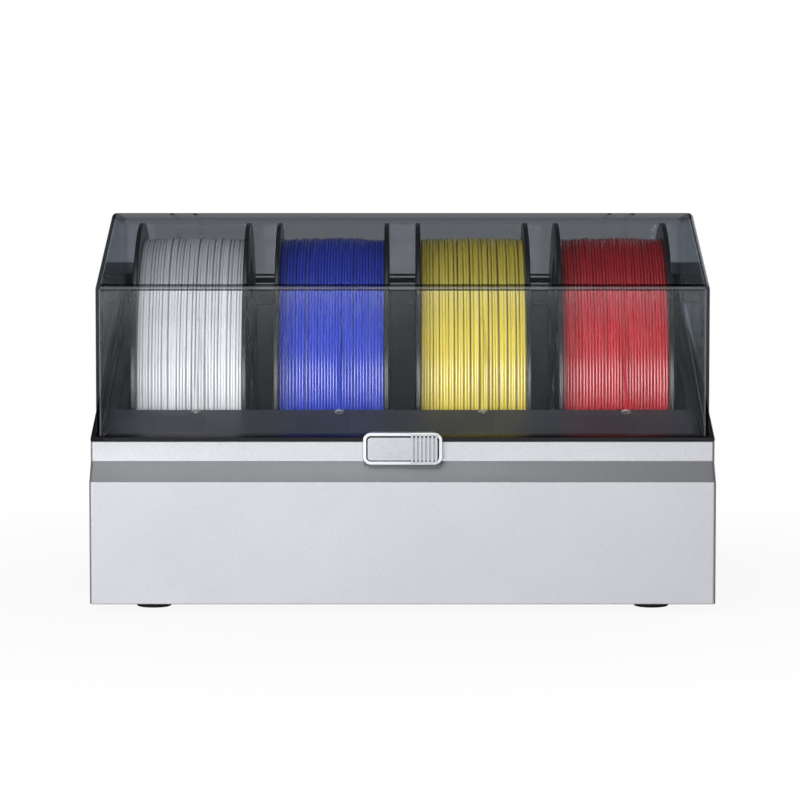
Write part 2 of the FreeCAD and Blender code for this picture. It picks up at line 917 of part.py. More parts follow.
def lid_shell():
    """Front wall, sloping window, rear roof and rear wall in one bent sheet."""
    sheet = prism_x(lid_line + lid_inner[::-1], -lid_half, lid_half)
    inner_radius = lid_ridge_radius / 2
    for (y, z), (v, w) in zip(lid_line[1:4], lid_inner[1:4]):
        sheet = rounded(sheet, lid_ridge_radius, lambda e: near_line(e, y, z))
        sheet = rounded(sheet, inner_radius, lambda e: near_line(e, v, w))

    def on_outer_end(edge):
        at = middle(edge)
        apart = min(off_line(at.y, at.z, a, b) for a, b in zip(lid_line, lid_line[1:]))
        return abs(at.x) > lid_half - lid_wall / 2 and apart < lid_wall / 3

    return rounded(sheet, lid_edge_radius, on_outer_end)


def lid_side():
    front, back = lid_inner[0][0], lid_inner[-1][0]
    outline = [
        (front, parting(front, rim_top)),
        lid_inner[1],
        lid_inner[2],
        lid_inner[3],
        (back, parting(back, rim_top)),
    ]
    side = prism_x(outline, lid_half - lid_wall, lid_half)
    inner_radius = lid_ridge_radius / 2
    for v, w in lid_inner[1:4]:
        side = rounded(side, inner_radius, lambda e: near_line(e, v, w))
    return side


def lid_rim():
    """Dark frame round the lid's lower edge: four bars, legs up the walls' insides and two rear rails."""
    low, high = lid_gap, rim_top
    back = lid_rear_y + lid_rear_overhang
    inner = half_width - lid_rim_width
    side = on_slope(inner, half_width, ledge_depth, back, low, high)
    front = on_slope(-inner, inner, ledge_depth, lid_front_y + lid_rim_width - lid_inset, low, high)
    rear = on_slope(-inner, inner, back - lid_rim_rear_width, back, low, high)
    leg_outer = lid_half - lid_wall
    leg_inner = leg_outer - rim_leg
    y0, y1 = lid_front_y + lid_wall, lid_rear_y - lid_wall
    outline = [
        (y0, parting(y0, high)),
        (y1, parting(y1, high)),
        (y1, parting(y1, high + rim_leg_rear)),
        (y0, parting(y0, high + rim_leg_front)),
    ]
    leg = prism_x(outline, leg_inner, leg_outer)

    def across(rise, height):
        return on_slope(-leg_inner, leg_inner, y1 - rim_leg, y1, high + rise, high + rise + height)

    rear_leg = across(0.0, rear_leg_height)
    rail = across(rail_rise, rail_height)
    upper_rail = across(rail_rise + rail_height + rail_slot, rail_edge)
    return group([side, mirrored(side), front, rear, leg, mirrored(leg), rear_leg, rail, upper_rail])


# Hinges


strap_low = hinge_centre - strap_pitch / 2
strap_high = hinge_centre + strap_pitch / 2


def hinge_tower():
    x0, x1 = hinge_centre - tower_inner, hinge_centre + tower_outer
    front, back = hinge_y - knuckle_radius, hinge_y + knuckle_radius
    outline = [(front, parting(front)), (back, parting(back)), (back, hinge_z), (front, hinge_z)]
    tower = joined(prism_x(outline, x0, x1), rod_x(x0, x1, hinge_y, hinge_z, knuckle_radius))
    for x in (strap_low, strap_high):
        half = strap_width / 2 + strap_side_gap
        floor, top = hinge_z - knuckle_radius - 2 * lid_gap, hinge_z + 2 * knuckle_radius
        tower = tower.cut(box(x - half, x + half, front - over, back + over, floor, top))
    return tower.cut(rod_x(x0 - over, x1 + over, hinge_y, hinge_z, hinge_pin_radius))


def hinge_pin():
    x0, x1 = hinge_centre - tower_inner, hinge_centre + tower_outer
    return rod_x(x0 + hinge_pin_inset, x1 - hinge_pin_inset, hinge_y, hinge_z, hinge_pin_radius)


def hinge_strap(x):
    """Arm from the hinge pin up the lid's rear wall and over its rear roof."""
    x0, x1 = x - strap_width / 2, x + strap_width / 2
    start = peak_y + strap_setback
    line = [(start, roof_height(start, -rear_turn))] + lid_line[3:4]
    line = line + [(lid_rear_y, hinge_z - knuckle_radius)]
    outer = beside(line, -strap_height)
    arm = prism_x(line + outer[::-1], x0, x1)
    eye_radius = knuckle_radius - lid_gap
    arm = rounded(arm, lid_ridge_radius, lambda e: near_line(e, outer[1][0], outer[1][1]))
    neck = box(x0, x1, lid_rear_y, hinge_y, hinge_z - eye_radius, hinge_z + eye_radius)
    eye = rod_x(x0, x1, hinge_y, hinge_z, eye_radius)
    strap = joined(arm, neck, eye)
    return strap.cut(rod_x(x0 - over, x1 + over, hinge_y, hinge_z, hinge_pin_radius + running_clearance))


# Latch


latch_back = ledge_depth - latch_back_gap
latch_face = latch_back - latch_plate
latch_mid = latch_bottom + latch_height / 2


def rounded_plate(width, height, corner, y0, y1):
    half, high = width / 2, height / 2
    plate = box(-half, half, y0, y1, latch_mid - high, latch_mid + high)
    return rounded(plate, corner, lambda e: runs_along(e, Vector(0, 1, 0)))


def ledge_room():
    """Space that the latch leaves free over the sloping ledge."""
    line = [(0.0, lower_front_height), (ledge_depth, lower_front_height + ledge_rise)]
    above = beside(line, -latch_back_gap)
    outline = [(0.0, 0.0), above[0], above[1], (ledge_depth, above[1][1]), (2 * ledge_depth, 0.0)]
    return prism_x(outline, -latch_width, latch_width)


def latch_frame():
    """Frame plate with a hook that carries it on the lid's front wall."""
    plate = rounded_plate(latch_width, latch_height, latch_corner, latch_face, latch_back)
    inset = latch_border
    wide, high = latch_width - 2 * inset, latch_height - 2 * inset
    front, bottom = latch_face - over, latch_face + latch_groove_depth
    groove = rounded_plate(wide, high, latch_corner - inset, front, bottom)
    trim = 2 * latch_groove
    core = rounded_plate(wide - trim, high - trim, latch_corner - inset - latch_groove, front, bottom)
    plate = plate.cut(groove.cut(core))
    half = tongue_width / 2 + latch_travel + tongue_gap
    low = tongue_bottom - tongue_gap
    slot = box(-half, half, front, latch_back + over, low, tongue_bottom + tongue_height + tongue_gap)
    plate = plate.cut(slot).cut(ledge_room())
    top = latch_bottom + latch_height
    hook_low = parting(latch_back, rim_top)
    hook_half = latch_width / 2 - latch_corner
    hook = box(-hook_half, hook_half, latch_back - hook_lap, lid_front_y, parting(lid_front_y, rim_top), top)
    hook = hook.common(prism_x(
        [(0, hook_low), (lid_front_y, parting(lid_front_y, rim_top)), (lid_front_y, top), (0, top)],
        -hook_half,
        hook_half,
    ))
    return joined(plate, hook)


def latch_slider():
    """Ribbed thumb plate in front of the frame, with its locking tongue behind."""
    back = latch_face - latch_face_gap
    front = back - latch_slider_thickness
    inset = 2 * (latch_border + latch_groove)
    corner = latch_corner - latch_border - latch_groove
    plate = rounded_plate(latch_width - inset, latch_height - inset, corner, front, back)
    high = latch_height / 2 - latch_border / 2
    for i in range(rib_count):
        x0 = (latch_width - inset - rib_width) / 2 - rib_margin - i * rib_pitch
        rib = box(x0, x0 + rib_width, front - rib_height, back, latch_mid - high, latch_mid + high)
        plate = plate.fuse(rib)
    half = tongue_width / 2
    tongue_end = ledge_depth + tongue_reach
    tongue = box(-half, half, back, tongue_end, tongue_bottom, tongue_bottom + tongue_height)
    return joined(plate, tongue).cut(ledge_room())


def latch_keeper():
    """Plate in the case's rim: the tongue lifts out through its channel, or slides under its hook."""
    back = ledge_depth + case_wall
    plate = box(-keeper_half, keeper_half, ledge_depth, back, keeper_floor, rim_front_z)
    half = tongue_width / 2 + tongue_gap
    low = tongue_bottom - tongue_gap
    channel = box(-half, half, ledge_depth - over, back + over, low, rim_front_z + over)
    high = tongue_bottom + tongue_height + tongue_gap
    pocket = box(-half, half + latch_travel, ledge_depth - over, back + over, low, high)
    return plate.cut(channel).cut(pocket)


# Everything by node name


def nodes():
    tower, pin = hinge_tower(), hinge_pin()
    strap_a, strap_b = hinge_strap(strap_low), hinge_strap(strap_high)
    side, lid_end, liner = side_panel(), lid_side(), chamber_wall_side()
    shapes = {
        "bottom_plate": bottom_plate(),
        "front_panel": front_panel(),
        "side_panel_left": mirrored(side),
        "side_panel_right": side,
        "rear_panel": rear_panel(),
        "feet": feet(),
        "foot_screws": foot_screws(),
        "chamber_floor": chamber_floor(),
        "chamber_wall_left": mirrored(liner),
        "chamber_wall_right": liner,
        "chamber_wall_front": chamber_wall_front(),
        "chamber_wall_rear": chamber_wall_rear(),
        "rear_bay_cover": rear_bay_cover(),
        "rim_gasket": rim_gasket(),
        "front_deck": front_deck(),
        "feeder_covers": feeder_covers(),
        "inlet_guides": inlet_guides(),
        "filament_leads": filament_leads(),
        "feeder_housings": feeder_housings(),
        "feeder_motors": feeder_motors(),
        "feed_tubes": feed_tubes(),
        "fan_frame": fan_frame(),
        "fan_rotor": fan_rotor(),
        "heater_core": heater_core(),
        "control_board": control_board(),
        "humidity_sensor": humidity_sensor(),
        "power_inlet": power_inlet(),
        "filament_outlets": filament_outlets(),
        "roller_posts": roller_posts(),
        "hinge_towers": group([tower, mirrored(tower)]),
        "hinge_pins": group([pin, mirrored(pin)]),
        "latch_keeper": latch_keeper(),
        "lid_shell": lid_shell(),
        "lid_side_left": mirrored(lid_end),
        "lid_side_right": lid_end,
        "lid_rim": lid_rim(),
        "hinge_straps": group([strap_a, strap_b, mirrored(strap_a), mirrored(strap_b)]),
        "latch_frame": latch_frame(),
        "latch_slider": latch_slider(),
    }
    for i, x in enumerate(lane_centres, start=1):
        shapes[f"spool_{i}"] = spool(x)
        shapes[f"filament_{i}"] = filament_core(x)
        winding, gap = filament_winding(x)
        shapes[f"filament_{i}_winding"] = winding
        print(f"winding {i}: least gap between loops {gap:.2f} mm")
        shapes[f"roller_{i}_front"] = roller(x, spool_y - roller_dy)
        shapes[f"roller_{i}_rear"] = roller(x, spool_y + roller_dy)
    return shapes


os.makedirs("parts", exist_ok=True)
for name, shape in nodes().items():
    shape.translate(Vector(0, -middle_y, foot_height))
    shape.exportStep(f"parts/{name}.step")
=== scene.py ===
import json
import math
import random

import bmesh
import bpy
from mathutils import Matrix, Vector


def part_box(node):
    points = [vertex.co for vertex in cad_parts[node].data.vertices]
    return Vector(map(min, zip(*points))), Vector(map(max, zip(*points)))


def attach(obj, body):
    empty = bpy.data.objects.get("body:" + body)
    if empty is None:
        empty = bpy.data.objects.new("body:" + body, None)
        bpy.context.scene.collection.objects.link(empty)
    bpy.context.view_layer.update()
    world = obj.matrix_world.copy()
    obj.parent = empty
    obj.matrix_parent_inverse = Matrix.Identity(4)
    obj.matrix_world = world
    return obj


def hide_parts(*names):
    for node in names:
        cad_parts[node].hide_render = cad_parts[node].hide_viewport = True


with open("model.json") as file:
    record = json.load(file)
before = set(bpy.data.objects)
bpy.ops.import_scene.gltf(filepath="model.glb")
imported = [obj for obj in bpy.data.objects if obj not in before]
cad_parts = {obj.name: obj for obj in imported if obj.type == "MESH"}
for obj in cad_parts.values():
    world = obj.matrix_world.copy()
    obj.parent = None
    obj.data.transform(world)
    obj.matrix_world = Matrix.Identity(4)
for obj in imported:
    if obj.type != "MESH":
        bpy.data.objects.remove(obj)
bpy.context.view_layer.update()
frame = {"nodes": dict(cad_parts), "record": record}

nodes = frame["nodes"]
slot_of = {part["node"]: part["material_slot"] for part in frame["record"]["subparts"]}
body_of = {node: body for body, members in frame["record"]["behaviour"]["bodies"].items() for node in members}
mm = 0.001
lanes = (1, 2, 3, 4)
strand_radius = 0.875 * mm
crease = math.radians(28)

# Materials


def tone(code):
    """A hex colour as linear RGBA."""
    channels = [int(code[i : i + 2], 16) / 255 for i in (0, 2, 4)]
    return [c / 12.92 if c <= 0.04045 else ((c + 0.055) / 1.055) ** 2.4 for c in channels] + [1.0]


def new_material(name):
    material = bpy.data.materials.new(name)
    material.use_nodes = True
    tree = material.node_tree
    return material, tree, tree.nodes["Principled BSDF"]


def noise(tree, per_metre, detail=2.0, stretch=(1.0, 1.0, 1.0)):
    """A noise pattern fixed to the piece, so many grains to the metre."""
    place = tree.nodes.new("ShaderNodeTexCoord")
    scale = tree.nodes.new("ShaderNodeMapping")
    scale.inputs["Scale"].default_value = stretch
    grain = tree.nodes.new("ShaderNodeTexNoise")
    grain.inputs["Scale"].default_value = per_metre
    grain.inputs["Detail"].default_value = detail
    tree.links.new(place.outputs["Object"], scale.inputs["Vector"])
    tree.links.new(scale.outputs["Vector"], grain.inputs["Vector"])
    return grain.outputs["Fac"]


def colour_between(tree, value, dark, light):
    ramp = tree.nodes.new("ShaderNodeValToRGB")
    ramp.color_ramp.elements[0].position = 0.3
    ramp.color_ramp.elements[1].position = 0.7
    ramp.color_ramp.elements[0].color = dark
    ramp.color_ramp.elements[1].color = light
    tree.links.new(value, ramp.inputs["Fac"])
    return ramp.outputs["Color"]


def number_between(tree, value, low, high):
    span = tree.nodes.new("ShaderNodeMapRange")
    span.inputs["From Min"].default_value = 0.3
    span.inputs["From Max"].default_value = 0.7
    span.inputs["To Min"].default_value = low
    span.inputs["To Max"].default_value = high
    tree.links.new(value, span.inputs["Value"])
    return span.outputs["Result"]


def power_of(tree, value, exponent):
    node = tree.nodes.new("ShaderNodeMath")
    node.operation = "POWER"
    node.inputs[1].default_value = exponent
    tree.links.new(value, node.inputs[0])
    return node.outputs["Value"]


def colour_mix(tree, value, first, second):
    node = tree.nodes.new("ShaderNodeMix")
    node.data_type = "RGBA"
    node.inputs["A"].default_value = first
    node.inputs["B"].default_value = second
    tree.links.new(value, node.inputs["Factor"])
    return node.outputs["Result"]


def bump(tree, value, strength, height):
    node = tree.nodes.new("ShaderNodeBump")
    node.inputs["Strength"].default_value = strength
    node.inputs["Distance"].default_value = height
    tree.links.new(value, node.inputs["Height"])
    return node.outputs["Normal"]


def moulded(
    name,
    dark,
    light,
    rough,
    grain=900.0,
    relief=0.15,
    uneven=0.12,
    metallic=0.0,
    gloss=0.5,
    stretch=(1, 1, 1),
):
    """A moulded or painted surface: mottled colour, fine grain in relief and uneven gloss."""
    material, tree, shader = new_material(name)
    fine = noise(tree, grain, 2.0, stretch)
    broad = noise(tree, 25.0, 3.0)
    tree.links.new(colour_between(tree, fine, tone(dark), tone(light)), shader.inputs["Base Color"])
    sheen = number_between(tree, broad, rough * (1 - uneven), rough * (1 + uneven))
    tree.links.new(sheen, shader.inputs["Roughness"])
    tree.links.new(bump(tree, fine, relief, 0.1 * mm), shader.inputs["Normal"])
    shader.inputs["Metallic"].default_value = metallic
    shader.inputs["Specular IOR Level"].default_value = gloss
    return material


def strand(name, dark, light, rough):
    """Extruded filament: smooth, with slow shifts of shade along the strand."""
    material, tree, shader = new_material(name)
    shade = noise(tree, 60.0, 3.0, (9.0, 0.25, 0.25))
    tree.links.new(colour_between(tree, shade, tone(dark), tone(light)), shader.inputs["Base Color"])
    tree.links.new(number_between(tree, shade, rough * 0.85, rough * 1.15), shader.inputs["Roughness"])
    shader.inputs["IOR"].default_value = 1.9
    return material


def smoked(name, tint, edge, least=0.02, most=0.9, growth=5.0, rough=0.03):
    """See-through tinted plastic: darker where the eye meets it edge on, with a gloss that grows there."""
    material, tree, shader = new_material(name)
    tree.nodes.remove(shader)
    smudge = noise(tree, 9.0, 4.0)
    facing = tree.nodes.new("ShaderNodeLayerWeight")
    facing.inputs["Blend"].default_value = 0.5
    depth = power_of(tree, facing.outputs["Facing"], 4.0)
    clear = tree.nodes.new("ShaderNodeBsdfTransparent")
    tree.links.new(colour_mix(tree, depth, tint, edge), clear.inputs["Color"])
    gloss = tree.nodes.new("ShaderNodeBsdfGlossy")
    gloss.inputs["Color"].default_value = (0.87, 0.94, 1.0, 1.0)
    tree.links.new(number_between(tree, smudge, rough, rough * 1.5), gloss.inputs["Roughness"])
    share = tree.nodes.new("ShaderNodeMapRange")
    share.inputs["To Min"].default_value = least
    share.inputs["To Max"].default_value = most
    tree.links.new(power_of(tree, facing.outputs["Facing"], growth), share.inputs["Value"])
    mix = tree.nodes.new("ShaderNodeMixShader")
    tree.links.new(share.outputs["Result"], mix.inputs["Fac"])
    tree.links.new(clear.outputs["BSDF"], mix.inputs[1])
    tree.links.new(gloss.outputs["BSDF"], mix.inputs[2])
    tree.links.new(mix.outputs["Shader"], tree.nodes["Material Output"].inputs["Surface"])
    return material


def cloud_painted_light(name, tint, cloud, part):
    """See-through plastic with a lit diffuse share, painted light for the light a bend gathers."""
    material, tree, shader = new_material(name)
    tree.nodes.remove(shader)
    clear = tree.nodes.new("ShaderNodeBsdfTransparent")
    clear.inputs["Color"].default_value = tint
    lit = tree.nodes.new("ShaderNodeBsdfDiffuse")
    lit.inputs["Color"].default_value = cloud
    mix = tree.nodes.new("ShaderNodeMixShader")
    tree.links.new(number_between(tree, noise(tree, 40.0, 3.0), part * 0.8, part * 1.2), mix.inputs["Fac"])
    tree.links.new(clear.outputs["BSDF"], mix.inputs[1])
    tree.links.new(lit.outputs["BSDF"], mix.inputs[2])
    tree.links.new(mix.outputs["Shader"], tree.nodes["Material Output"].inputs["Surface"])
    return material


def grey(level, warm=1.0, cool=1.0):
    return [level * warm, level, level * cool, 1.0]


finishes = {
    "silver_case": moulded(
        "silver_case", "A6A7AB", "B0B1B5", 0.55, grain=1300.0, relief=0.2, uneven=0.02, metallic=0.9
    ),
    "dark_liner": moulded("dark_liner", "1F242F", "252B36", 0.5, grain=1500.0, relief=0.08),
    "dark_gloss": moulded("dark_gloss", "26282C", "2C2E33", 0.14, grain=1500.0, relief=0.03),
    "spool_black": moulded("spool_black", "121315", "1A1B1E", 0.3, grain=1300.0, relief=0.12),
    "filament_white": strand("filament_white", "ECECEE", "F4F4F6", 0.27),
    "filament_blue": strand("filament_blue", "3046CA", "384ED6", 0.27),
    "filament_yellow": strand("filament_yellow", "E8D24C", "F0DE60", 0.27),
    "filament_red": strand("filament_red", "C4202C", "D02A36", 0.27),
    "black_rubber": moulded("black_rubber", "0D0D0E", "161617", 0.75, grain=1200.0, relief=0.4),
    "steel": moulded(
        "steel", "8E9094", "A9ABAF", 0.3, grain=700.0, relief=0.1, metallic=1.0, stretch=(1, 12, 12)
    ),
    "bare_aluminium": moulded(
        "bare_aluminium", "B4B6BA", "C6C8CB", 0.36, grain=600.0, metallic=1.0, stretch=(1, 9, 1)
    ),
    "pale_tube": moulded("pale_tube", "C9CAC6", "D8D8D2", 0.3, grain=500.0, relief=0.05),
    "board_green": moulded("board_green", "0C4A2B", "146038", 0.4, grain=420.0, relief=0.3),
}
# Painted shade: the cores under the windings are darker copies of the filament colours, standing in for the
# shade in the gaps between strands
shaded_core_finishes = [
    strand("core_white_painted_shade", "B0B2B8", "BCBEC4", 0.5),
    strand("core_blue_painted_shade", "181D58", "1F256A", 0.5),
    strand("core_yellow_painted_shade", "7A6224", "8A702E", 0.5),
    strand("core_red_painted_shade", "54141B", "641A22", 0.5),
]
# The lid's outer face carries the tint of the roof, the rear and the bends; their inner face is nearly clear
lid_front = smoked("lid_front", grey(0.985, 0.995, 1.005), grey(0.40), least=0.015)
lid_slope = smoked("lid_slope", grey(0.985, 0.985, 1.015), grey(0.49, 0.985, 1.03), most=0.45)
lid_end = smoked("lid_end", grey(0.72, 0.98, 1.03), grey(0.36, 0.98, 1.03), most=0.78, growth=2.6)
lid_roof = smoked("lid_roof", grey(0.2, 0.96, 1.05), grey(0.165, 0.96, 1.05), most=0.03)
lid_rear = smoked("lid_rear", grey(0.195, 0.96, 1.06), grey(0.10))
lid_inside = smoked("lid_inside", grey(0.975, 0.99, 1.01), grey(0.95), least=0.002, most=0.01)
lid_edge = smoked("lid_edge", grey(0.185, 0.96, 1.06), grey(0.05), least=0.004, most=0.12)
# Painted light: the cloudy share in these bend faces stands in for light gathered in the bend
lid_bend_painted_light = cloud_painted_light("lid_bend_painted_light", grey(0.46, 0.98, 1.03), grey(0.5, 0.97, 1.05), 0.18)
own_finishes = {
    "front_deck": moulded("deck", "383B42", "3C3F46", 0.5, grain=1500.0, relief=0.0, gloss=0.12),
    "feeder_covers": moulded("cover", "33363D", "373A41", 0.5, grain=1500.0, relief=0.0, gloss=0.1),
    "lid_rim": moulded("lid_frame", "101114", "16171A", 0.32, grain=1500.0, relief=0.05, gloss=0.12),
    "hinge_towers": moulded("tower", "ACAFB4", "B6B8BD", 0.5, grain=1300.0, relief=0.1),
    "inlet_guides": moulded("inlet_ring", "8A8C88", "9A9C96", 0.35, grain=500.0, relief=0.05),
    # Painted highlight: the latch ring is the case silver made lighter, for the light its bead catches
    "latch_frame": moulded("latch_ring_painted_highlight", "AEB0B4", "B6B8BC", 0.45, grain=1300.0, relief=0.15, metallic=0.9),
    "latch_slider": moulded("thumb_plate", "999A9E", "A3A4A8", 0.48, grain=1300.0, relief=0.2, metallic=0.9),
    "hinge_straps": smoked("lid_strap", grey(0.97, 0.99, 1.01), grey(0.90), least=0.005, most=0.02),
}
shadow_finish = moulded("shadow_gap", "0C0D0E", "141516", 0.6, grain=1300.0, relief=0.1)
# Painted shade: a darker silver for the floors between the thumb plate's ribs
valley_painted_shade = moulded("rib_valley_painted_shade", "85878B", "8F9195", 0.5, grain=1300.0, relief=0.2, metallic=0.9)

for node, thing in nodes.items():
    finish = finishes.get(slot_of[node], lid_front)
    thing.data.materials.clear()
    thing.data.materials.append(finish)
# The cores take their painted-shade colours
for lane, finish in zip(lanes, shaded_core_finishes):
    nodes[f"filament_{lane}"].data.materials[0] = finish

# Pieces made from the solids, with their edges broken as a mould leaves them


def piece(name, mesh, body, slot, *replaced):
    thing = bpy.data.objects.new(name, mesh)
    bpy.context.scene.collection.objects.link(thing)
    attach(thing, body)
    if replaced:
        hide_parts(*replaced)
    return thing


def dressed(node, edge, segments=3):
    """The solid's own shape with rounded edges."""
    work = bmesh.new()
    work.from_mesh(nodes[node].data)
    bmesh.ops.remove_doubles(work, verts=work.verts, dist=0.002 * mm)
    bmesh.ops.dissolve_limit(work, angle_limit=math.radians(0.5), verts=work.verts, edges=work.edges)
    mesh = bpy.data.meshes.new(node + "_skin")
    work.to_mesh(mesh)
    work.free()
    mesh.materials.append(own_finishes.get(node) or finishes[slot_of[node]])
    mesh.shade_smooth()
    mesh.set_sharp_from_angle(angle=crease)
    thing = piece(node + "_skin", mesh, body_of[node], slot_of[node], node)
    bevel = thing.modifiers.new("edges", "BEVEL")
    bevel.width = edge
    bevel.segments = segments
    bevel.limit_method = "ANGLE"
    bevel.angle_limit = crease
    bevel.harden_normals = True
    bevel.use_clamp_overlap = True
    return thing


def second_finish(thing, finish, chosen):
    """Gives some of a piece's faces a finish of their own."""
    thing.data.materials.append(finish)
    for face in thing.data.polygons:
        if chosen(face):
            face.material_index = 1


def in_groove(face):
    """The walls and floor of the groove round the thumb plate."""
    low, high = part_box("latch_frame")
    x, y, z = face.center
    inside = low.x + mm < x < high.x - mm and low.z + mm < z < high.z - mm
    return inside and low.y + 0.3 * mm < y < low.y + 2.6 * mm


def at_front_end(face):
    """The end of a strap at the lid's peak."""
    return face.normal.y < -0.7 and face.center.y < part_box("hinge_straps")[0].y + mm


def lift_off(straps, gap):
    """Keeps the faces that lie on the lid a hair off it."""
    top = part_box("hinge_straps")[1].z
    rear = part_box("lid_shell")[1].y
    resting = set()
    for face in straps.data.polygons:
        on_roof = face.normal.z < -0.9 and face.center.z > top - 15 * mm
        on_rear = face.normal.y < -0.9 and abs(face.center.y - rear) < 0.1 * mm
        if on_roof or on_rear:
            resting.update(face.vertices)
    for i in resting:
        straps.data.vertices[i].co += Vector((0, gap, 0.4 * gap))


def in_shaded_valley(face):
    """The floors between the thumb plate's ribs, which take a painted shade."""
    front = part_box("latch_slider")[0].y
    return face.normal.y < -0.7 and face.center.x > 0 and front + 0.5 * mm < face.center.y < front + 3 * mm


edge_breaks = {
    "front_panel": 0.6 * mm,
    "side_panel_left": 0.6 * mm,
    "side_panel_right": 0.6 * mm,
    "rear_panel": 0.6 * mm,
    "front_deck": 0.4 * mm,
    "feeder_covers": 0.25 * mm,
    "lid_rim": 0.4 * mm,
    "hinge_towers": 0.5 * mm,
    "inlet_guides": 0.3 * mm,
    "spool_1": 0.7 * mm,
    "spool_2": 0.7 * mm,
    "spool_3": 0.7 * mm,
    "spool_4": 0.7 * mm,
}
for node, edge in edge_breaks.items():
    dressed(node, edge)
second_finish(dressed("latch_frame", 0.3 * mm), shadow_finish, in_groove)
second_finish(dressed("latch_slider", 0.45 * mm), valley_painted_shade, in_shaded_valley)
straps = dressed("hinge_straps", 0.2 * mm)
lift_off(straps, 0.05 * mm)
second_finish(straps, shadow_finish, at_front_end)

# Lid: one moulding with rounded bends

lid_wall = 2.5 * mm
lid_clearance = 3.1 * mm
lid_round = 3.0 * mm
lid_crease = 1.0 * mm
lid_face_least = 0.004
slope_turn = math.radians(13.7)
roof_turn = math.radians(4.8)
parting_turn = math.radians(13.87)


def bend_look(normal):
    """Painted light along the middle of the front ridge and beside the front corners, the dark edge tint at
    every other bend.
    """
    turn = math.degrees(math.acos(-normal.y))
    on_ridge = abs(normal.x) < 0.1
    return 6 if (14 < turn < 42 if on_ridge else turn < 14) else 5


def lid_moulding():
    low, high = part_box("lid_shell")
    spool_low, spool_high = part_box("spool_1")
    spool_y, spool_z = (spool_low.y + spool_high.y) / 2, (spool_low.z + spool_high.z) / 2
    reach = (spool_high.z - spool_low.z) / 2 + lid_wall + lid_clearance

    def roof(y, turn):
        return spool_z + (reach + (y - spool_y) * math.sin(turn)) / math.cos(turn)

    tilt = math.tan(slope_turn) + math.tan(roof_turn)
    peak = spool_y + reach * (1 / math.cos(roof_turn) - 1 / math.cos(slope_turn)) / tilt
    seat = math.tan(parting_turn)
    front_foot = low.z
    rear_foot = low.z + seat * (high.y - low.y)
    outline = [
        (low.y, front_foot),
        (low.y, roof(low.y, slope_turn)),
        (peak, roof(peak, slope_turn)),
        (high.y, roof(high.y, -roof_turn)),
        (high.y, rear_foot),
    ]
    work = bmesh.new()
    left = [work.verts.new((low.x, y, z)) for y, z in outline]
    right = [work.verts.new((high.x, y, z)) for y, z in outline]
    for i in range(len(outline) - 1):
        work.faces.new((left[i], right[i], right[i + 1], left[i + 1]))
    work.faces.new(left)
    work.faces.new(list(reversed(right)))
    bmesh.ops.recalc_face_normals(work, faces=work.faces)
    for width, segments, least, most in ((lid_crease, 3, 0, 25), (lid_round, 6, 25, 180)):
        bends = [e for e in work.edges if len(e.link_faces) == 2]
        bends = [e for e in bends if least <= math.degrees(e.calc_face_angle()) < most]
        bmesh.ops.bevel(
            work,
            geom=bends,
            offset=width,
            offset_type="OFFSET",
            segments=segments,
            profile=0.5,
            affect="EDGES",
        )
    for face in work.faces:
        face.smooth = True
        middle, normal = face.calc_center_median(), face.normal
        if face.calc_area() < lid_face_least:
            face.material_index = bend_look(normal)
        elif abs(normal.x) > 0.75:
            face.material_index = 2
        elif middle.y > peak:
            face.material_index = 3 if normal.z > 0.5 else 4
        elif normal.z > 0.5:
            face.material_index = 1
    mesh = bpy.data.meshes.new("lid_moulding")
    work.to_mesh(mesh)
    work.free()
    outside = [lid_front, lid_slope, lid_end, lid_roof, lid_rear, lid_edge, lid_bend_painted_light]
    inside = [lid_inside if finish in (lid_roof, lid_rear, lid_edge) else finish for finish in outside]
    for finish in outside + inside:
        mesh.materials.append(finish)
    thing = piece("lid_moulding", mesh, "lid", "smoked_lid", "lid_shell", "lid_side_left", "lid_side_right")
    wall = thing.modifiers.new("wall", "SOLIDIFY")
    wall.thickness = lid_wall
    wall.offset = -1.0
    wall.use_even_offset = True
    wall.material_offset = len(outside)
    flat = thing.modifiers.new("flat_faces", "WEIGHTED_NORMAL")
    flat.weight = 100
    return thing


lid_moulding()

# Wound filament


